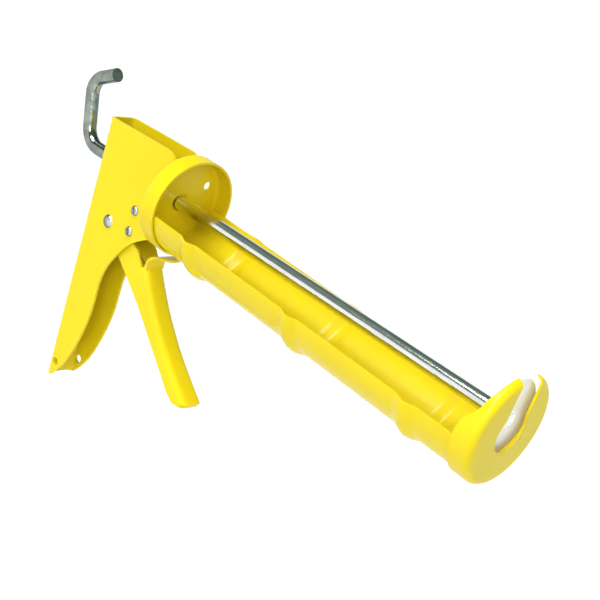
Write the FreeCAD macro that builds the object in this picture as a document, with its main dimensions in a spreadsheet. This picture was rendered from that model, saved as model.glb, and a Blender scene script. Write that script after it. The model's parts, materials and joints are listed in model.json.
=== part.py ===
import FreeCAD, Part
import math
import os

V = FreeCAD.Vector
doc = FreeCAD.newDocument("caulking_gun")

# ---------------------------------------------------------------- driving dimensions (mm)
sheet = doc.addObject("Spreadsheet::Sheet", "Dims")
D = {}


def dim(alias, value, note=""):
    row = len(D) + 1
    sheet.set("A%d" % row, note or alias)
    sheet.set("B%d" % row, repr(float(value)))
    sheet.setAlias("B%d" % row, alias)
    D[alias] = float(value)


dim("frame_width", 18.7, "handle channel, outside width")
dim("frame_sheet", 1.5, "handle channel, sheet thickness")
dim("frame_bend", 4.4, "handle channel, outside bend radius")
dim("cup_outer", 27.7, "rear cup and nose cap, outside radius")
dim("cup_inner", 26.5, "rear cup and nose cap, inside radius")
dim("cup_depth", 12.0, "rear cup, rim to back face")
dim("wall_sheet", 1.2, "rear cup and nose cap, sheet thickness")
dim("wall_bore", 5.0, "rod hole in the cup wall, radius")
dim("peg_hole", 2.4, "small hole in the cup wall, radius")
dim("trough_outer", 26.1, "cradle trough, outside radius")
dim("trough_sheet", 1.0, "cradle trough, sheet thickness")
dim("trough_angle", 161.8, "cradle trough, wrap angle in degrees")
dim("bead_rise", 2.3, "cradle trough, height of the stiffening beads")
dim("nose_face", 219.5, "outer face of the nose cap from the cup rim")
dim("nose_outer", 28.2, "nose cap, outside radius")
dim("nose_rise", 0.5, "nose cap axis above the cradle axis")
dim("rod_lean", 1.587, "upward lean of the drive rod in its loose guides, degrees")
dim("rod_drop", 0.44, "drive rod axis below the cradle axis at the cup rim")
dim("slot_half", 10.7, "nozzle slot, half width")
dim("trigger_width", 14.7, "trigger channel, outside width")
dim("trigger_sheet", 1.4, "trigger channel, sheet thickness")
dim("trigger_bend", 3.7, "trigger channel, outside bend radius")
dim("lip_width", 13.0, "finger lip, width")
dim("pivot_shaft", 3.0, "trigger pivot rivet, shaft radius")
dim("pivot_bore", 3.06, "trigger pivot, bore radius in the cheeks")
dim("pivot_head", 3.8, "trigger pivot rivet, head radius")
dim("small_shaft", 2.0, "small rivets and pawl pin, shaft radius")
dim("small_bore", 2.05, "bores running on the small rivets and pin")
dim("small_head", 2.8, "small rivets, head radius")
dim("tail_hole", 2.5, "hanging hole radius")
dim("rod_radius", 4.0, "drive rod radius")
dim("rod_bore", 4.06, "rod guide bore radius")
dim("tip_radius", 3.0, "threaded rod tip radius")
dim("tip_bore", 3.06, "piston and washer bore radius")
dim("tooth_pitch", 5.0, "ratchet tooth pitch")
dim("tooth_depth", 1.2, "ratchet tooth depth")
dim("piston_radius", 20.2, "piston disc radius")
dim("piston_sheet", 1.8, "piston disc thickness")
dim("piston_back", 213.3, "rear face of the piston disc along the rod")
dim("pawl_width", 4.0, "pawl thickness")
dim("nut_flats", 8.0, "piston nut, across flats")
dim("nut_thick", 1.5, "piston nut thickness")
doc.recompute()

P = (-49.9, -31.7)      # trigger pivot
A = (-54.4, -17.2)      # drive pawl pin
Q = (-32.0, -16.3)      # upper small rivet, check pawl
S = (-31.6, -28.9)      # lower small rivet, trigger stop
hw = D["frame_width"] / 2.0
lean = math.radians(D["rod_lean"])


def rod_z(x):
    """Height of the leaning rod's axis at x."""
    return -D["rod_drop"] + x * math.tan(lean)



# ---------------------------------------------------------------- helpers
def body(label, place=None):
    b = doc.addObject("PartDesign::Body", label)
    b.Label = label
    if place is not None:
        b.Placement = FreeCAD.Placement(V(*place), FreeCAD.Rotation())
    return b


def sketch(b, role, name, offset=0.0):
    s = b.newObject("Sketcher::SketchObject", name)
    pl = [f for f in b.Origin.OriginFeatures if f.Role == role][0]
    s.AttachmentSupport = (pl, [""])
    s.MapMode = "FlatFace"
    if offset:
        s.AttachmentOffset = FreeCAD.Placement(V(0, 0, offset), FreeCAD.Rotation())
    return s


def v2(p):
    return V(p[0], p[1], 0)


def line(s, a, b):
    s.addGeometry(Part.LineSegment(v2(a), v2(b)))


def arc(s, a, m, b):
    s.addGeometry(Part.Arc(v2(a), v2(m), v2(b)))


def spline(s, pts, t0=None, t1=None):
    c = Part.BSplineCurve()
    if t0 is not None:
        c.interpolate(Points=[v2(q) for q in pts], InitialTangent=v2(t0), FinalTangent=v2(t1))
    else:
        c.interpolate([v2(q) for q in pts])
    s.addGeometry(c)


def poly(s, pts):
    for i in range(len(pts)):
        line(s, pts[i], pts[(i + 1) % len(pts)])


def circle(s, c, alias=None, r=None):
    rad = D[alias] if alias else r
    i = s.addGeometry(Part.Circle(v2(c), V(0, 0, 1), rad))
    if alias:
        import Sketcher
        k = s.addConstraint(Sketcher.Constraint("Radius", i, rad))
        s.setExpression("Constraints[%d]" % k, "Dims.%s" % alias)
        if abs(c[0]) > 1e-9 or abs(c[1]) > 1e-9:
            s.addConstraint(Sketcher.Constraint("DistanceX", -1, 1, i, 3, c[0]))
            s.addConstraint(Sketcher.Constraint("DistanceY", -1, 1, i, 3, c[1]))
        else:
            s.addConstraint(Sketcher.Constraint("Coincident", i, 3, -1, 1))
    return i


def pad(b, s, expr, name, sym=True):
    f = b.newObject("PartDesign::Pad", name)
    f.Profile = s
    f.setExpression("Length", expr)
    if sym:
        f.SideType = "Symmetric"
    doc.recompute()
    return f


def pocket(b, s, expr, name):
    before = b.Tip.Shape.Volume
    f = b.newObject("PartDesign::Pocket", name)
    f.Profile = s
    f.setExpression("Length", expr)
    f.SideType = "Symmetric"
    doc.recompute()
    if not f.Shape.Volume < before - 1e-6:
        raise RuntimeError("pocket %s cut nothing" % name)
    return f


def revolve(b, s, axis, name, angle=None):
    f = b.newObject("PartDesign::Revolution", name)
    f.Profile = s
    f.ReferenceAxis = (s, [axis])
    if angle:
        f.setExpression("Angle", angle)
        f.Midplane = True
    else:
        f.Angle = 360.0
    doc.recompute()
    return f


def fillet(b, test, expr, name, mode="PartDesign::Fillet"):
    sh = b.Tip.Shape
    names = ["Edge%d" % (i + 1) for i, e in enumerate(sh.Edges) if test(e)]
    if not names:
        raise RuntimeError("no edges for %s" % name)
    f = b.newObject(mode, name)
    f.Base = (b.Tip if b.Tip.Name != f.Name else f.BaseFeature, names)
    if mode.endswith("Fillet"):
        f.setExpression("Radius", expr)
    else:
        f.setExpression("Size", expr)
    doc.recompute()
    return f


def mid(e):
    return e.valueAt((e.FirstParameter + e.LastParameter) / 2.0)


# ---------------------------------------------------------------- handle frame (U channel)
back_top, back_low = (-73.9, 22.2), (-63.4, -139.6)
back_len = math.hypot(back_top[0] - back_low[0], back_top[1] - back_low[1])


def frame_back(z):
    k = (z - back_top[1]) / (back_low[1] - back_top[1])
    return back_top[0] + k * (back_low[0] - back_top[0])


fr = body("handle_frame")
s = sketch(fr, "XZ_Plane", "frame_side")
line(s, back_low, back_top)
line(s, back_top, (-22.1, 24.9))
arc(s, (-22.1, 24.9), (-15.0, 22.0), (-12.0, 15.4))
line(s, (-12.0, 15.4), (-12.0, -24.2))
spline(s, [(-12.0, -24.2), (-19.7, -28.5), (-28.1, -35.2), (-34.7, -44.3), (-39.6, -53.6), (-42.1, -64.3),
           (-42.0, -75.0), (-41.6, -86.0), (-42.9, -98.5), (-46.4, -114.3), (-49.9, -124.4), (-53.8, -131.6), (-59.2, -138.8)])
line(s, (-59.2, -138.8), back_low)
pad(fr, s, "Dims.frame_width", "frame_block")
fillet(fr, lambda e: abs(abs(mid(e).y) - hw) < 1e-3 and abs(mid(e).x - frame_back(mid(e).z)) < 1e-2
       and abs(e.Length - back_len) < 1.0, "Dims.frame_bend", "frame_outer_bends")
s = sketch(fr, "XZ_Plane", "frame_inside")
t = D["frame_sheet"]
poly(s, [(frame_back(40) + t, 40.0), (10.0, 40.0), (10.0, -160.0), (frame_back(-160) + t, -160.0)])
pocket(fr, s, "Dims.frame_width - 2 * Dims.frame_sheet", "frame_channel")
fillet(fr, lambda e: abs(abs(mid(e).y) - (hw - t)) < 1e-3 and abs(mid(e).x - frame_back(mid(e).z) - t) < 1e-2
       and e.Length > 100, "Dims.frame_bend - Dims.frame_sheet", "frame_inner_bends")
s = sketch(fr, "XZ_Plane", "frame_holes")
circle(s, P, "pivot_shaft")
circle(s, Q, "small_shaft")
circle(s, S, "small_shaft")
circle(s, (-57.6, -129.0), "tail_hole")
pocket(fr, s, "Dims.frame_width + 4", "frame_side_holes")
s = sketch(fr, "YZ_Plane", "frame_rod_hole", offset=-72.0)
circle(s, (0, rod_z(-71.0)), r=5.9)
pocket(fr, s, "30", "frame_back_hole")

# ---------------------------------------------------------------- rear cup
cu = body("rear_cup")
s = sketch(cu, "XZ_Plane", "cup_profile")
ro, ri, dpt, w = D["cup_outer"], D["cup_inner"], D["cup_depth"], D["wall_sheet"]
cr, q = 3.2, math.sqrt(0.5)
c0 = (-dpt + cr, ro - cr)
line(s, (-dpt, 1.0), (-dpt, ro - cr))
arc(s, (-dpt, ro - cr), (c0[0] - cr * q, c0[1] + cr * q), (-dpt + cr, ro))
line(s, (-dpt + cr, ro), (0, ro))
line(s, (0, ro), (0, ri))
line(s, (0, ri), (-dpt + cr, ri))
arc(s, (-dpt + cr, ri), (c0[0] - (cr - w) * q, c0[1] + (cr - w) * q), (-dpt + w, ro - cr))
line(s, (-dpt + w, ro - cr), (-dpt + w, 1.0))
line(s, (-dpt + w, 1.0), (-dpt, 1.0))
revolve(cu, s, "H_Axis", "cup_pressing")
s = sketch(cu, "YZ_Plane", "cup_peg_hole", offset=-11.0)
circle(s, (16.7, 9.2), "peg_hole")
circle(s, (0.0, -0.75), "wall_bore")
pocket(cu, s, "Dims.wall_sheet * 4", "cup_hole")

# ---------------------------------------------------------------- cradle trough with three beads
tr = body("barrel_trough")
s = sketch(tr, "XZ_Plane", "trough_profile")
R0, ts, br = D["trough_outer"], D["trough_sheet"], D["bead_rise"]
beads = (27.6, 103.3, 179.5)
half = 7.2


def bead_side(rad, shift, sign):
    pts = []
    for c in beads:
        ks = [-1, -0.72, -0.36, 0, 0.36, 0.72, 1]
        pts.append([(c + k * (half + shift), -(rad + br * 0.5 * (1 + math.cos(math.pi * k)))) for k in ks])
    return pts


for rad, shift in ((R0, 0.35), (R0 - ts, -0.35)):
    x = -8.9
    for pts in bead_side(rad, shift, 1):
        line(s, (x, -rad), pts[0])
        spline(s, pts, (1, 0), (1, 0))
        x = pts[-1][0]
    line(s, (x, -rad), (215.6, -rad))
line(s, (-8.9, -R0), (-8.9, -(R0 - ts)))
line(s, (215.6, -R0), (215.6, -(R0 - ts)))
revolve(tr, s, "H_Axis", "trough_pressing", "Dims.trough_angle")

# ---------------------------------------------------------------- nose cap
nc = body("nose_cap")
s = sketch(nc, "XZ_Plane", "nose_profile")
xf = D["nose_face"]
cr = 3.4
no = D["nose_outer"]
ni = no - w
xr = 208.0
line(s, (xf, 2.0), (xf, no - cr))
arc(s, (xf, no - cr), (xf - cr + cr * q, no - cr + cr * q), (xf - cr, no))
line(s, (xf - cr, no), (xr, no))
line(s, (xr, no), (xr, ni))
line(s, (xr, ni), (xf - cr, ni))
arc(s, (xf - cr, ni), (xf - cr + (cr - w) * q, ni - cr + w + (cr - w) * q), (xf - w, ni - cr + w))
line(s, (xf - w, ni - cr + w), (xf - w, 2.0))
line(s, (xf - w, 2.0), (xf, 2.0))
revolve(nc, s, "H_Axis", "nose_pressing")
s = sketch(nc, "YZ_Plane", "nose_slot", offset=212.0)
sl = D["slot_half"]
sn = sl - 1.9
arc(s, (-sl, 0.2), (0.0, -sl + 0.2), (sl, 0.2))
spline(s, [(sl, 0.2), (sl - 0.5, 3.2), (sn + 0.3, 6.4), (sn, 9.5)])
line(s, (sn, 9.5), (sn - 0.6, 34.0))
line(s, (sn - 0.6, 34.0), (-sn + 0.6, 34.0))
line(s, (-sn + 0.6, 34.0), (-sn, 9.5))
spline(s, [(-sn, 9.5), (-sn - 0.3, 6.4), (-sl + 0.5, 3.2), (-sl, 0.2)])
pocket(nc, s, "30", "nose_nozzle_slot")
s = sketch(nc, "XZ_Plane", "nose_rim_cut")
line(s, (200.0, 0.5), (208.2, 0.5))
spline(s, [(208.2, 0.5), (208.8, 4.2), (210.4, 7.8), (212.8, 11.2), (213.8, 15.5), (214.6, 20.0), (215.4, 24.5), (215.9, 30.0)])
line(s, (215.9, 30.0), (200.0, 30.0))
line(s, (200.0, 30.0), (200.0, 0.5))
pocket(nc, s, "Dims.nose_outer * 3", "nose_rim_taper")
nc.Placement = FreeCAD.Placement(V(0, 0, D["nose_rise"]), FreeCAD.Rotation())

# ---------------------------------------------------------------- trigger
tg = body("trigger")
s = sketch(tg, "XZ_Plane", "trigger_side")
tw = D["trigger_width"] / 2.0
arc(s, (-59.0, -17.2), (-54.4, -12.6), (-49.8, -16.8))
line(s, (-49.8, -16.8), (-43.8, -24.8))
spline(s, [(-43.8, -24.8), (-38.8, -29.0), (-31.2, -33.0), (-23.4, -36.0)])
line(s, (-23.4, -36.0), (-16.2, -43.6))
line(s, (-16.2, -43.6), (-13.4, -41.5))
front = [(-13.4, -41.5), (-6.2, -50.5), (2.3, -60.0), (11.5, -68.9), (21.1, -77.1), (34.8, -87.0), (46.6, -95.0)]
spline(s, front)
line(s, (46.6, -95.0), (45.2, -97.6))
line(s, (45.2, -97.6), (37.5, -98.6))
line(s, (37.5, -98.6), (31.4, -95.3))
spline(s, [(31.4, -95.3), (21.9, -87.9), (11.7, -80.2), (3.0, -73.4), (-14.8, -60.2), (-24.0, -54.2), (-36.5, -46.4),
           (-46.5, -41.8), (-52.8, -40.0)])
arc(s, (-52.8, -40.0), (-57.3, -36.6), (-58.7, -31.0))
line(s, (-58.7, -31.0), (-59.0, -17.2))
pad(tg, s, "Dims.trigger_width", "trigger_block")


def front_side(m):
    """Positive beyond the mid line between the front and the rear edge of the grip."""
    return m.x * 0.618 + m.z * 0.786 + 50.5


fillet(tg, lambda e: abs(abs(mid(e).y) - tw) < 1e-3 and
       ((e.Length > 60 and mid(e).x > -20 and front_side(mid(e)) > 0)
        or (e.Length < 4 and mid(e).x > 44)),
       "Dims.trigger_bend", "trigger_outer_bends")
s = sketch(tg, "XZ_Plane", "trigger_inside")
g = D["trigger_sheet"]


def inset(pts, d):
    out = []
    for i, p0 in enumerate(pts):
        a, b = pts[max(i - 1, 0)], pts[min(i + 1, len(pts) - 1)]
        tx, tz = b[0] - a[0], b[1] - a[1]
        k = math.hypot(tx, tz)
        out.append((p0[0] + tz / k * d, p0[1] - tx / k * d))
    return out


inner = inset(front, g)
line(s, (-75.0, 0.0), (-15.0, 0.0))
line(s, (-15.0, 0.0), inner[0])
inner[-1] = (43.5, -94.6)
spline(s, inner)
line(s, (43.5, -94.6), (43.1, -96.4))
line(s, (43.1, -96.4), (34.2, -97.6))
line(s, (34.2, -97.6), (20.0, -110.0))
line(s, (20.0, -110.0), (-75.0, -110.0))
line(s, (-75.0, -110.0), (-75.0, 0.0))
pocket(tg, s, "Dims.trigger_width - 2 * Dims.trigger_sheet", "trigger_channel")
s = sketch(tg, "XZ_Plane", "trigger_lip")
line(s, (-14.6, -42.6), (-12.5, -42.7))
spline(s, [(-12.5, -42.7), (-13.2, -40.6), (-12.9, -38.4), (-10.6, -35.8), (-5.8, -33.4), (0.4, -32.1)])
line(s, (0.4, -32.1), (0.4, -30.8))
spline(s, [(0.4, -30.8), (-6.4, -32.1), (-11.6, -34.6), (-14.2, -37.9), (-14.7, -40.4), (-14.6, -42.6)])
pad(tg, s, "Dims.lip_width", "trigger_lip_pad")
fillet(tg, lambda e: abs(mid(e).x - 0.4) < 1e-2 and abs(abs(mid(e).y) - D["lip_width"] / 2) < 1e-2
       and abs(e.Length - 1.3) < 0.3, "Dims.lip_width * 0.38", "trigger_lip_corners")
s = sketch(tg, "XZ_Plane", "trigger_bores")
circle(s, P, "pivot_bore")
circle(s, A, "small_shaft")
pocket(tg, s, "Dims.trigger_width + 4", "trigger_cheek_bores")


# ---------------------------------------------------------------- rivets, pins and tubes
def rivet(label, at, shaft, head, length_expr, length, rise, dimple=False):
    b = body(label, (at[0], 0, at[1]))
    sk = sketch(b, "XY_Plane", label + "_profile")
    h2 = length / 2.0
    rs, rh = D[shaft], D[head]
    fl = 0.5
    if dimple:
        line(sk, (0, -h2 - rise * 0.35), (rs * 0.62, -h2 - rise * 0.35))
        line(sk, (rs * 0.62, -h2 - rise * 0.35), (rs * 0.8, -h2 - rise))
        arc(sk, (rs * 0.8, -h2 - rise), (rh * 0.86, -h2 - rise * 0.66), (rh, -h2))
    else:
        line(sk, (0, -h2 - rise), (fl, -h2 - rise))
        arc(sk, (fl, -h2 - rise), (rh * 0.74, -h2 - rise * 0.56), (rh, -h2))
    line(sk, (rh, -h2), (rs, -h2))
    line(sk, (rs, -h2), (rs, h2))
    line(sk, (rs, h2), (rh, h2))
    arc(sk, (rh, h2), (rh * 0.74, h2 + rise * 0.56), (fl, h2 + rise))
    line(sk, (fl, h2 + rise), (0, h2 + rise))
    line(sk, (0, h2 + rise), (0, -h2 - (rise * 0.35 if dimple else rise)))
    revolve(b, sk, "V_Axis", label + "_turned")
    return b


def tube(label, at, y0, y1, r_out, bore_alias, y_expr=None):
    outer = doc.addObject("Part::Cylinder", label + "_outer")
    inner = doc.addObject("Part::Cylinder", label + "_bore")
    outer.Radius = r_out
    inner.setExpression("Radius", "Dims.%s" % bore_alias)
    outer.Height = y1 - y0
    inner.Height = y1 - y0 + 2
    rot = FreeCAD.Rotation(V(1, 0, 0), -90)
    outer.Placement = FreeCAD.Placement(V(at[0], y0, at[1]), rot)
    inner.Placement = FreeCAD.Placement(V(at[0], y0 - 1, at[1]), rot)
    cut = doc.addObject("Part::Cut", label)
    cut.Base = outer
    cut.Tool = inner
    cut.Label = label
    return cut


rv = rivet("trigger_pivot_rivet", P, "pivot_shaft", "pivot_head", "", D["frame_width"], 2.0)
ra = rivet("frame_rivet_upper", Q, "small_shaft", "small_head", "", D["frame_width"], 1.3, dimple=True)
rb = rivet("frame_rivet_lower", S, "small_shaft", "small_head", "", D["frame_width"], 1.3, dimple=True)
frv = doc.addObject("Part::Compound", "frame_rivets")
frv.Label = "frame_rivets"
frv.Links = [ra, rb]

pin = doc.addObject("Part::Cylinder", "drive_pawl_pin")
pin.Label = "drive_pawl_pin"
pin.setExpression("Radius", "Dims.small_shaft")
pin.setExpression("Height", "Dims.trigger_width")
pin.Placement = FreeCAD.Placement(V(A[0], -tw, A[1]), FreeCAD.Rotation(V(1, 0, 0), -90))

ck = tw - D["trigger_sheet"]
ps = tube("pivot_sleeve", P, -ck + 0.1, ck - 0.1, 4.2, "pivot_bore")
ss = tube("stop_sleeve", S, -hw + t + 0.05, hw - t - 0.05, 3.0, "small_bore")
pwa = tube("pawl_washer_left", A, 2.15, ck - 0.1, 3.3, "small_bore")
pwb = tube("pawl_washer_right", A, -ck + 0.1, -2.15, 3.3, "small_bore")
pw = doc.addObject("Part::Compound", "pawl_washers")
pw.Label = "pawl_washers"
pw.Links = [pwa, pwb]
csa = tube("check_sleeve_left", Q, 2.15, hw - t - 0.05, 3.3, "small_bore")
csb = tube("check_sleeve_right", Q, -hw + t + 0.05, -2.15, 3.3, "small_bore")
cs = doc.addObject("Part::Compound", "check_pawl_sleeves")
cs.Label = "check_pawl_sleeves"
cs.Links = [csa, csb]

# ---------------------------------------------------------------- rod guide in the back web
lean_place = FreeCAD.Placement(V(0, 0, -D["rod_drop"]), FreeCAD.Rotation(V(0, 1, 0), -D["rod_lean"]))
rg = body("rod_guide")
s = sketch(rg, "XZ_Plane", "guide_profile")
gb = D["rod_bore"]
gx = frame_back(rod_z(-71.0))
poly(s, [(gx - 1.2, gb), (gx - 1.2, 5.5), (gx + t + 0.45, 5.5), (gx + t + 0.45, 6.6), (gx + t + 1.7, 6.6),
         (gx + t + 1.7, gb)])
revolve(rg, s, "H_Axis", "guide_turned")
rg.Placement = lean_place

# ---------------------------------------------------------------- drive rod with hook and ratchet teeth
rd = body("drive_rod")
path = sketch(rd, "XZ_Plane", "rod_path")
line(path, (211.9, 0.0), (-85.3, 0.0))
arc(path, (-85.3, 0.0), (-93.17, 2.65), (-97.8, 9.5))
line(path, (-97.8, 9.5), (-102.8, 27.03))
arc(path, (-102.8, 27.03), (-102.34, 33.81), (-97.66, 38.72))
line(path, (-97.66, 38.72), (-86.3, 44.4))
prof = sketch(rd, "YZ_Plane", "rod_section", offset=211.9)
circle(prof, (0, 0), "rod_radius")
pipe = rd.newObject("PartDesign::AdditivePipe", "rod_bar")
pipe.Profile = prof
pipe.Spine = (path, ["Edge%d" % (i + 1) for i in range(5)])
pipe.Transition = "Transformed"
doc.recompute()
s = sketch(rd, "YZ_Plane", "rod_tip", offset=210.9)
circle(s, (0, 0), "tip_radius")
pad(rd, s, "Dims.piston_sheet + Dims.nut_thick + 2.8", "rod_tip_pad", sym=False)
s = sketch(rd, "XZ_Plane", "rod_teeth")
pit, dep, rr = D["tooth_pitch"], D["tooth_depth"], D["rod_radius"]
first = -24.35 - 6 * pit
count = 44
pts = [(first - pit, -rr - 2.0), (first - pit, -rr + 0.0)]
for k in range(count):
    x0 = first + (k - 1) * pit + 0.4
    pts.append((x0, -rr))
    pts.append((x0 + pit - 0.4, -rr + dep))
    pts.append((x0 + pit - 0.4, -rr))
pts.append((first + (count - 1) * pit + 1.0, -rr))
pts.append((first + (count - 1) * pit + 1.0, -rr - 2.0))
clean = [pts[0]]
for pnt in pts[1:]:
    if abs(pnt[0] - clean[-1][0]) + abs(pnt[1] - clean[-1][1]) > 1e-6:
        clean.append(pnt)
poly(s, clean)
pocket(rd, s, "Dims.rod_radius * 3", "rod_teeth_cut")
rd.Placement = lean_place

# ---------------------------------------------------------------- piston
pd = body("piston_disc")
s = sketch(pd, "XZ_Plane", "piston_profile")
xb, pt, pr = D["piston_back"], D["piston_sheet"], D["piston_radius"]
tb = D["tip_bore"]
line(s, (xb, tb), (xb, pr - 0.4))
line(s, (xb, pr - 0.4), (xb + 0.4, pr))
line(s, (xb + 0.4, pr), (xb + pt - 0.8, pr))
arc(s, (xb + pt - 0.8, pr), (xb + pt - 0.8 + 0.8 * q, pr - 0.8 + 0.8 * q), (xb + pt, pr - 0.8))
line(s, (xb + pt, pr - 0.8), (xb + pt, tb))
line(s, (xb + pt, tb), (xb, tb))
revolve(pd, s, "H_Axis", "piston_pressing")
pd.Placement = lean_place

wa = doc.addObject("Part::Cylinder", "washer_outer")
wa.Radius = 6.5
wa.Height = 1.2
wb = doc.addObject("Part::Cylinder", "washer_bore")
wb.setExpression("Radius", "Dims.tip_bore")
wb.Height = 3
wrot = FreeCAD.Rotation(V(0, 1, 0), 90)
wa.Placement = lean_place.multiply(FreeCAD.Placement(V(212.0, 0, 0), wrot))
wb.Placement = lean_place.multiply(FreeCAD.Placement(V(211.1, 0, 0), wrot))
pws = doc.addObject("Part::Cut", "piston_washer")
pws.Label = "piston_washer"
pws.Base = wa
pws.Tool = wb

nu = body("piston_nut")
nu.Placement = lean_place.multiply(FreeCAD.Placement(V(xb + pt + 0.05, 0, 0), FreeCAD.Rotation()))
s = sketch(nu, "YZ_Plane", "nut_hexagon")
af = D["nut_flats"] / 2.0 / math.cos(math.pi / 6)
poly(s, [(af * math.cos(math.radians(60 * i + 30)), af * math.sin(math.radians(60 * i + 30))) for i in range(6)])
pad(nu, s, "Dims.nut_thick", "nut_blank", sym=False)
s = sketch(nu, "YZ_Plane", "nut_thread")
circle(s, (0, 0), "tip_radius")
pocket(nu, s, "30", "nut_bore")
fillet(nu, lambda e: abs(mid(e).x - D["nut_thick"]) < 1e-3 and abs(e.Length - 2 * af * 0.5) < 0.5, "0.3", "nut_edge",
       mode="PartDesign::Chamfer")

# ---------------------------------------------------------------- pawls
dp = body("drive_pawl")
s = sketch(dp, "XZ_Plane", "drive_pawl_side")
hub = 4.2
tipx = -43.8
tipz = rod_z(tipx) - D["rod_radius"] - 0.45
arc(s, (A[0] - 3.0, A[1] + 2.94), (A[0] - 2.97, A[1] - 2.97), (A[0] + 3.4, A[1] - 2.47))
line(s, (A[0] + 3.4, A[1] - 2.47), (tipx - 0.2, tipz - 4.1))
line(s, (tipx - 0.2, tipz - 4.1), (tipx, tipz))
line(s, (tipx, tipz), (tipx - 2.6, tipz - 0.75))
line(s, (tipx - 2.6, tipz - 0.75), (A[0] - 3.0, A[1] + 2.94))
pad(dp, s, "Dims.pawl_width", "drive_pawl_plate")
s = sketch(dp, "XZ_Plane", "drive_pawl_eye")
circle(s, A, "small_bore")
pocket(dp, s, "Dims.pawl_width + 4", "drive_pawl_bore")

cp = body("check_pawl")
s = sketch(cp, "XZ_Plane", "check_pawl_side")
tipx = -23.8
tipz = rod_z(tipx) - D["rod_radius"] - 0.45
arc(s, (Q[0] - 3.0, Q[1] + 2.65), (Q[0] - 2.83, Q[1] - 2.83), (Q[0] + 3.2, Q[1] - 2.4))
line(s, (Q[0] + 3.2, Q[1] - 2.4), (tipx + 0.3, tipz - 4.4))
line(s, (tipx + 0.3, tipz - 4.4), (tipx, tipz))
line(s, (tipx, tipz), (tipx - 2.5, tipz - 0.85))
line(s, (tipx - 2.5, tipz - 0.85), (Q[0] - 3.0, Q[1] + 2.65))
pad(cp, s, "Dims.pawl_width", "check_pawl_plate")
s = sketch(cp, "XZ_Plane", "check_pawl_eye")
circle(s, Q, "small_bore")
pocket(cp, s, "Dims.pawl_width + 4", "check_pawl_bore")

# ---------------------------------------------------------------- springs
lf = body("check_pawl_spring")
s = sketch(lf, "XZ_Plane", "leaf_side")
leaf = [(-35.0, -24.4), (-30.4, -24.5), (-27.2, -22.3), (-25.0, -18.4), (-24.6, -12.6)]
leaf_in = [(-24.0, -12.6), (-24.4, -18.6), (-26.8, -22.9), (-30.3, -25.1), (-35.0, -25.0)]
spline(s, leaf)
line(s, leaf[-1], leaf_in[0])
spline(s, leaf_in)
line(s, leaf_in[-1], leaf[0])
pad(lf, s, "Dims.pawl_width - 0.4", "leaf_strip")


def cylinder(label, start, end, radius):
    c = doc.addObject("Part::Cylinder", label)
    d = V(*end) - V(*start)
    c.Radius = radius
    c.Height = d.Length
    c.Placement = FreeCAD.Placement(V(*start), FreeCAD.Rotation(V(0, 0, 1), d))
    return c


def spring(label, centre, r_in, r_out, y0, y1, wire, legs):
    """Torsion spring on the Y axis: the wound part as a tube, with a straight leg at each end."""
    outer = cylinder(label + "_wound", (centre[0], y0, centre[1]), (centre[0], y1, centre[1]), r_out)
    parts = [outer]
    for i, (p0, p1) in enumerate(legs):
        parts.append(cylinder("%s_leg%d" % (label, i), p0, p1, wire))
    fuse = doc.addObject("Part::MultiFuse", label + "_solid")
    fuse.Shapes = parts
    bore = cylinder(label + "_bore", (centre[0], y0 - 1, centre[1]), (centre[0], y1 + 1, centre[1]), r_in)
    cut = doc.addObject("Part::Cut", label)
    cut.Base = fuse
    cut.Tool = bore
    cut.Label = label
    return cut


rs = spring("trigger_return_spring", P, 4.6, 5.8, -3.4, 3.4, 0.6,
            (((P[0] - 5.2, -2.7, P[1] - 0.3), (-66.6, -2.7, -37.6)), ((P[0] + 4.3, 2.7, P[1] - 3.1), (-17.6, 2.7, -47.6))))
dps = spring("drive_pawl_spring", A, 3.55, 4.35, 2.3, 5.7, 0.4,
             (((A[0] - 3.6, 2.75, A[1] - 1.2), (A[0] - 3.4, 2.75, A[1] - 10.4)),
              ((A[0] + 2.5, 5.2, A[1] + 3.0), (A[0] + 7.6, 5.2, A[1] + 4.4))))
doc.recompute()

# ---------------------------------------------------------------- export
nodes = [fr, cu, tr, nc, tg, rv, frv, pin, ps, ss, pw, cs, rg, rd, pd, pws, nu, dp, cp, lf, rs, dps]
doc.recompute()
for o in doc.Objects:
    bad = [x for x in o.State if x in ("Invalid", "Error")]
    if bad:
        raise RuntimeError("%s is %s" % (o.Label, bad))
os.makedirs("parts", exist_ok=True)
for o in nodes:
    shp = o.Shape
    if shp.isNull() or not shp.isValid():
        raise RuntimeError("bad shape %s" % o.Label)
    bb = shp.BoundBox
    print("%-24s solids %d vol %10.1f  x %.1f..%.1f y %.1f..%.1f z %.1f..%.1f" % (
        o.Label, len(shp.Solids), shp.Volume, bb.XMin, bb.XMax, bb.YMin, bb.YMax, bb.ZMin, bb.ZMax))
    shp.exportStep("parts/%s.step" % o.Label)
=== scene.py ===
import bpy
import bmesh
import json
import math
from mathutils import Matrix, Vector


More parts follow.
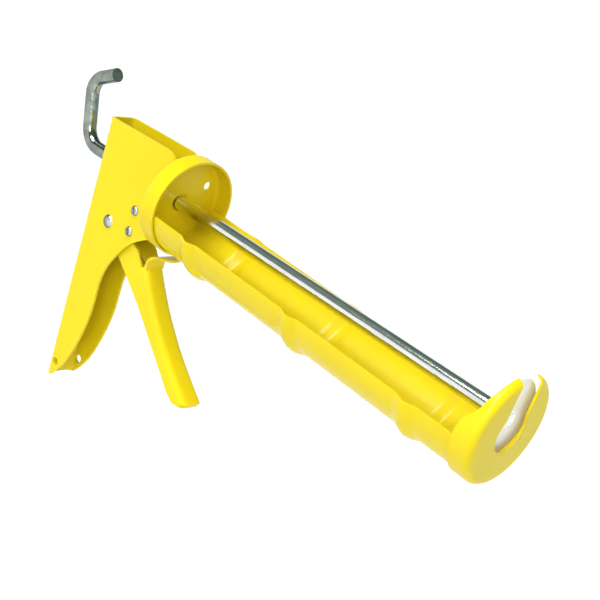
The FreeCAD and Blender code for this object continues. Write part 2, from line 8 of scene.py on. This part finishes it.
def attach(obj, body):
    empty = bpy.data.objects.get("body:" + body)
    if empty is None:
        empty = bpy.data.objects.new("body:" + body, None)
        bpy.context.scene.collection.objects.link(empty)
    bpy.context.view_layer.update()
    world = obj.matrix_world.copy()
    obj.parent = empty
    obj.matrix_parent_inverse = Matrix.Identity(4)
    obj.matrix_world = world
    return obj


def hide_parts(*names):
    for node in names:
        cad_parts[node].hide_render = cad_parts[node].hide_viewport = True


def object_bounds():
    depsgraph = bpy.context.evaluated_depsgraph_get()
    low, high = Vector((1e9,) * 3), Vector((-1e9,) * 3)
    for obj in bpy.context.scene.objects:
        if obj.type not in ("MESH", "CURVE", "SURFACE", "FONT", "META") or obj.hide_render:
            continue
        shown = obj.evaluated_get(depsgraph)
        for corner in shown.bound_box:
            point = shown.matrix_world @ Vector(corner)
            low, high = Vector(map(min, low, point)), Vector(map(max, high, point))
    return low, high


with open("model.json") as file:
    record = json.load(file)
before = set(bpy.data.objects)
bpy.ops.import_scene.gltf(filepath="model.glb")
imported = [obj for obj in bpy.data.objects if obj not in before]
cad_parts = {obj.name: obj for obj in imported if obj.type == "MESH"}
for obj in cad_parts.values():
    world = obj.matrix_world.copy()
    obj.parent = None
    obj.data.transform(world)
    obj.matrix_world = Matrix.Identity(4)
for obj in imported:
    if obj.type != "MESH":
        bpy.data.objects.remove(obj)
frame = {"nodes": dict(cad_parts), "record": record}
cad_lo, cad_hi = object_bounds()
nodes = frame["nodes"]
scene = bpy.context.scene


# ------------------------------------------------------------------ material helpers
def new_mat(name):
    m = bpy.data.materials.new(name)
    m.use_nodes = True
    nt = m.node_tree
    nt.nodes.clear()
    out = nt.nodes.new("ShaderNodeOutputMaterial")
    bs = nt.nodes.new("ShaderNodeBsdfPrincipled")
    nt.links.new(bs.outputs["BSDF"], out.inputs["Surface"])
    return m, nt, bs


def coords(nt, scale=(1, 1, 1)):
    tc = nt.nodes.new("ShaderNodeTexCoord")
    mp = nt.nodes.new("ShaderNodeMapping")
    mp.inputs["Scale"].default_value = scale
    nt.links.new(tc.outputs["Object"], mp.inputs["Vector"])
    return mp.outputs["Vector"]


def noise(nt, vec, scale, detail=3.0, rough=0.5):
    n = nt.nodes.new("ShaderNodeTexNoise")
    n.inputs["Scale"].default_value = scale
    n.inputs["Detail"].default_value = detail
    n.inputs["Roughness"].default_value = rough
    nt.links.new(vec, n.inputs["Vector"])
    return n.outputs["Fac"]


def ramp(nt, fac, stops):
    r = nt.nodes.new("ShaderNodeValToRGB")
    el = r.color_ramp.elements
    while len(el) > 1:
        el.remove(el[-1])
    el[0].position, el[0].color = stops[0][0], stops[0][1]
    for p, c in stops[1:]:
        e = el.new(p)
        e.color = c
    nt.links.new(fac, r.inputs["Fac"])
    return r.outputs["Color"]


def maprange(nt, fac, a, b, c, d):
    n = nt.nodes.new("ShaderNodeMapRange")
    for k, v in zip(("From Min", "From Max", "To Min", "To Max"), (a, b, c, d)):
        n.inputs[k].default_value = v
    nt.links.new(fac, n.inputs["Value"])
    return n.outputs["Result"]


def bump(nt, bs, height, strength, distance, chain=None):
    b = nt.nodes.new("ShaderNodeBump")
    b.inputs["Strength"].default_value = strength
    b.inputs["Distance"].default_value = distance
    nt.links.new(height, b.inputs["Height"])
    if chain is not None:
        nt.links.new(chain, b.inputs["Normal"])
    nt.links.new(b.outputs["Normal"], bs.inputs["Normal"])
    return b.outputs["Normal"]


def g(v):
    return (v, v, v, 1.0)


def paint():
    m, nt, bs = new_mat("yellow_powder_coat")
    v = coords(nt)
    big = noise(nt, v, 35.0, 3.0)
    col = ramp(nt, big, [(0.3, (0.670, 0.518, 0.0060, 1)), (0.7, (0.698, 0.542, 0.0072, 1))])
    nt.links.new(col, bs.inputs["Base Color"])
    ro = maprange(nt, noise(nt, v, 60.0, 4.0), 0.3, 0.7, 0.27, 0.36)
    nt.links.new(ro, bs.inputs["Roughness"])
    bs.inputs["Coat Weight"].default_value = 0.10
    bs.inputs["Specular IOR Level"].default_value = 0.14
    bs.inputs["Coat Roughness"].default_value = 0.10
    n1 = bump(nt, bs, noise(nt, v, 900.0, 2.0), 0.10, 0.0002)
    bump(nt, bs, noise(nt, v, 110.0, 2.0), 0.16, 0.0010, n1)
    return m


def steel(name, base, rough, streak=(1, 1, 1), var=0.06, bump_s=0.08, scale=300.0):
    m, nt, bs = new_mat(name)
    v = coords(nt, streak)
    n = noise(nt, v, scale, 5.0, 0.6)
    col = ramp(nt, n, [(0.25, (base[0] * (1 - var * 2), base[1] * (1 - var * 2), base[2] * (1 - var * 2), 1)),
                       (0.75, (base[0], base[1], base[2], 1))])
    nt.links.new(col, bs.inputs["Base Color"])
    bs.inputs["Metallic"].default_value = 1.0
    nt.links.new(maprange(nt, n, 0.3, 0.7, rough * 0.8, rough * 1.3), bs.inputs["Roughness"])
    bump(nt, bs, n, bump_s, 0.0002)
    return m


def hook_painted_reflection(m):
    """Over the hook behind the handle the bar colour turns duller and darker as painted reflection of dark
    surroundings, and darker again towards the silhouette as painted rim shade.
    """
    nt = m.node_tree
    bs = next(n for n in nt.nodes if n.type == "BSDF_PRINCIPLED")
    old = bs.inputs["Base Color"].links[0].from_socket
    tc = nt.nodes.new("ShaderNodeTexCoord")
    sx = nt.nodes.new("ShaderNodeSeparateXYZ")
    nt.links.new(tc.outputs["Object"], sx.inputs["Vector"])
    t = maprange(nt, sx.outputs["X"], -0.072, -0.060, 1.0, 0.0)
    # painted reflection: a dark grey-green colour over the hook stands in for the dark surroundings a mirror bar
    # would reflect
    hook_dark_reflection = ramp(nt, noise(nt, tc.outputs["Object"], 160.0, 4.0, 0.6), [(0.3, (0.22, 0.25, 0.22, 1)), (0.55, (0.36, 0.40, 0.35, 1)), (0.75, (0.54, 0.57, 0.49, 1))])
    mx = nt.nodes.new("ShaderNodeMix")
    mx.data_type = "RGBA"
    nt.links.new(t, mx.inputs["Factor"])
    nt.links.new(old, mx.inputs["A"])
    # painted rim shade: the colour darkens by facing angle towards the silhouette, standing in for the round bar's
    # shading
    lw = nt.nodes.new("ShaderNodeLayerWeight")
    lw.inputs["Blend"].default_value = 0.5
    hook_rim_shade = nt.nodes.new("ShaderNodeMix")
    hook_rim_shade.data_type = "RGBA"
    hook_rim_shade.blend_type = "MULTIPLY"
    hook_rim_shade.inputs["Factor"].default_value = 1.0
    nt.links.new(hook_dark_reflection, hook_rim_shade.inputs["A"])
    nt.links.new(ramp(nt, lw.outputs["Facing"], [(0.05, g(1.0)), (0.40, g(0.75)), (0.80, g(0.30))]), hook_rim_shade.inputs["B"])
    nt.links.new(hook_rim_shade.outputs["Result"], mx.inputs["B"])
    nt.links.new(mx.outputs["Result"], bs.inputs["Base Color"])
    return m


def rivet_painted_rim_shade(m):
    """Zinc rivets get painted shade: the colour darkens towards the rim of the head, standing in for the dome's
    shading.
    """
    nt = m.node_tree
    bs = next(n for n in nt.nodes if n.type == "BSDF_PRINCIPLED")
    old = bs.inputs["Base Color"].links[0].from_socket
    lw = nt.nodes.new("ShaderNodeLayerWeight")
    lw.inputs["Blend"].default_value = 0.5
    # painted shade: the head is multiplied darker as the surface turns away from the view
    shade = ramp(nt, lw.outputs["Facing"], [(0.10, g(1.0)), (0.42, g(0.40)), (0.75, g(0.10))])
    mx = nt.nodes.new("ShaderNodeMix")
    mx.data_type = "RGBA"
    mx.blend_type = "MULTIPLY"
    mx.inputs["Factor"].default_value = 1.0
    nt.links.new(old, mx.inputs["A"])
    nt.links.new(shade, mx.inputs["B"])
    nt.links.new(mx.outputs["Result"], bs.inputs["Base Color"])
    return m


def satin(m):
    """Blasted and zinc-plated sheet: a pale, mostly diffuse skin over the steel."""
    bs = next(n for n in m.node_tree.nodes if n.type == "BSDF_PRINCIPLED")
    bs.inputs["Metallic"].default_value = 0.12
    return m


mats = {
    "yellow_paint": paint(),
    # rivets carry painted rim shade on their heads
    "plated_rivet": rivet_painted_rim_shade(steel("bright_zinc", (0.62, 0.66, 0.64), 0.22, scale=500.0)),
    "plain_steel": steel("plain_steel", (0.55, 0.55, 0.54), 0.35),
    # the bar's hook end carries painted reflection and painted rim shade
    "plated_rod": hook_painted_reflection(steel("zinc_plated_bar", (0.93, 0.96, 0.92), 0.12, streak=(0.12, 1, 1), var=0.12, bump_s=0.30, scale=600.0)),
    "plated_disc": satin(steel("bright_plate", (0.97, 0.98, 0.975), 0.42, var=0.03)),
    "hardened_steel": steel("dark_oiled_steel", (0.24, 0.24, 0.25), 0.32),
    "spring_steel": steel("drawn_wire", (0.42, 0.42, 0.43), 0.28, scale=800.0),
}
slots = {s["node"]: s["material_slot"] for s in frame["record"]["subparts"]}
for name, o in nodes.items():
    m = mats["plated_disc" if name == "piston_nut" else slots[name]]
    if len(o.material_slots) == 0:
        o.data.materials.append(m)
    for s in o.material_slots:
        s.material = m

# ------------------------------------------------------------------ coiled springs
def coil(name, centre, radius, y0, y1, wire, end_in, end_out, turns, body, node):
    """A torsion spring wound round a Y axis with a straight leg at each end, lengths in millimetres."""
    def polar(e):
        dx, dz = e[0] - centre[0], e[1] - centre[1]
        return math.atan2(dz, dx), math.hypot(dx, dz)
    f1, d1 = polar(end_in)
    f2, d2 = polar(end_out)
    t1 = f1 + math.acos(radius / d1)
    t2 = f2 - math.acos(radius / d2)
    sweep = (t2 - t1) % (2 * math.pi) + 2 * math.pi * turns
    n = int(sweep / (math.pi / 16))
    pts = [(end_in[0], y0, end_in[1])]
    for i in range(n + 1):
        th = t1 + sweep * i / n
        pts.append((centre[0] + radius * math.cos(th), y0 + (y1 - y0) * i / n, centre[1] + radius * math.sin(th)))
    pts.append((end_out[0], y1, end_out[1]))
    cd = bpy.data.curves.new(name, "CURVE")
    cd.dimensions = "3D"
    cd.bevel_depth = wire * 0.001
    cd.bevel_resolution = 4
    cd.use_fill_caps = True
    sp = cd.splines.new("POLY")
    sp.points.add(len(pts) - 1)
    for p, q in zip(sp.points, pts):
        p.co = (q[0] * 0.001, q[1] * 0.001, q[2] * 0.001, 1.0)
    o = bpy.data.objects.new(name, cd)
    scene.collection.objects.link(o)
    cd.materials.append(mats["spring_steel"])
    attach(o, body)
    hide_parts(node)
    return o


coil("return_spring_coil", (-49.9, -31.7), 5.2, -2.7, 2.7, 0.55, (-66.4, -37.6), (-17.8, -47.4), 4, "frame", "trigger_return_spring")
coil("pawl_spring_coil", (-54.4, -17.2), 3.95, 2.75, 5.2, 0.38, (-57.6, -27.4), (-47.0, -12.9), 3, "trigger", "drive_pawl_spring")

# ------------------------------------------------------------------ stage
floor_z = cad_lo.z - 0.30
bpy.ops.mesh.primitive_plane_add(size=30.0, location=(0.1, 0, floor_z))
floor = bpy.context.object
floor.name = "floor"
fm, nt, bs = new_mat("pale_floor")
v = coords(nt)
nt.links.new(ramp(nt, noise(nt, v, 3.0), [(0.3, g(0.80)), (0.7, g(0.82))]), bs.inputs["Base Color"])
bs.inputs["Roughness"].default_value = 1.0
bs.inputs["Specular IOR Level"].default_value = 0.0
floor.data.materials.append(fm)

world = bpy.data.worlds.new("studio")
scene.world = world
world.use_nodes = True
wn = world.node_tree
tc = wn.nodes.new("ShaderNodeTexCoord")
sep = wn.nodes.new("ShaderNodeSeparateXYZ")
wn.links.new(tc.outputs["Generated"], sep.inputs["Vector"])
sky = ramp(wn, sep.outputs["Z"], [(0.0, g(1.0)), (0.38, g(1.0)), (0.50, (0.155, 0.195, 0.175, 1)), (1.0, (0.155, 0.195, 0.175, 1))])
side = ramp(wn, maprange(wn, sep.outputs["Y"], -1.0, 1.0, 0.0, 1.0), [(0.0, g(1.0)), (0.52, g(1.0)), (0.72, (0.56, 0.66, 0.62, 1)), (1.0, (0.56, 0.66, 0.62, 1))])
mix = wn.nodes.new("ShaderNodeMix")
mix.data_type = "RGBA"
mix.blend_type = "MULTIPLY"
mix.inputs["Factor"].default_value = 1.0
wn.links.new(sky, mix.inputs["A"])
wn.links.new(side, mix.inputs["B"])
wn.links.new(mix.outputs["Result"], wn.nodes["Background"].inputs["Color"])
wn.nodes["Background"].inputs["Strength"].default_value = 1.06
scene.view_settings.view_transform = "Standard"

sun_d = bpy.data.lights.new("sun", "SUN")
sun_d.energy = 3.65
sun_d.angle = 0.6
sun = bpy.data.objects.new("sun", sun_d)
scene.collection.objects.link(sun)
sun.rotation_mode = "QUATERNION"
sun.rotation_quaternion = Vector((0.14, 0.40, -0.9)).to_track_quat("-Z", "Y")


def area(name, loc, target, size, power, color=(1, 1, 1)):
    ld = bpy.data.lights.new(name, "AREA")
    ld.energy = power
    ld.size = size
    ld.color = color
    lo = bpy.data.objects.new(name, ld)
    scene.collection.objects.link(lo)
    lo.location = loc
    lo.rotation_mode = "QUATERNION"
    lo.rotation_quaternion = (Vector(target) - Vector(loc)).to_track_quat("-Z", "Y")
    return lo


area("key", (0.50, -0.62, 0.42), (0.10, 0, 0), 0.35, 3.0)

# ------------------------------------------------------------------ camera
Rw = ((0.6784184550, 0.6531800222, 0.3363097656),
      (0.4859647173, -0.0556609894, -0.8722041893),
      (-0.5509870174, 0.7551540987, -0.3551838873))
right, down, fwd = (Vector(r) for r in Rw)
cam_d = bpy.data.cameras.new("camera")
cam_d.sensor_width = 36.0
cam_d.lens = 70.5957
cam_d.clip_start, cam_d.clip_end = 0.01, 50.0
cam = bpy.data.objects.new("camera", cam_d)
scene.collection.objects.link(cam)
rot = Matrix((right, -down, -fwd)).transposed()
cam.matrix_world = Matrix.Translation(Vector((0.4108868, -0.4423183, 0.2016374))) @ rot.to_4x4()
scene.camera = cam
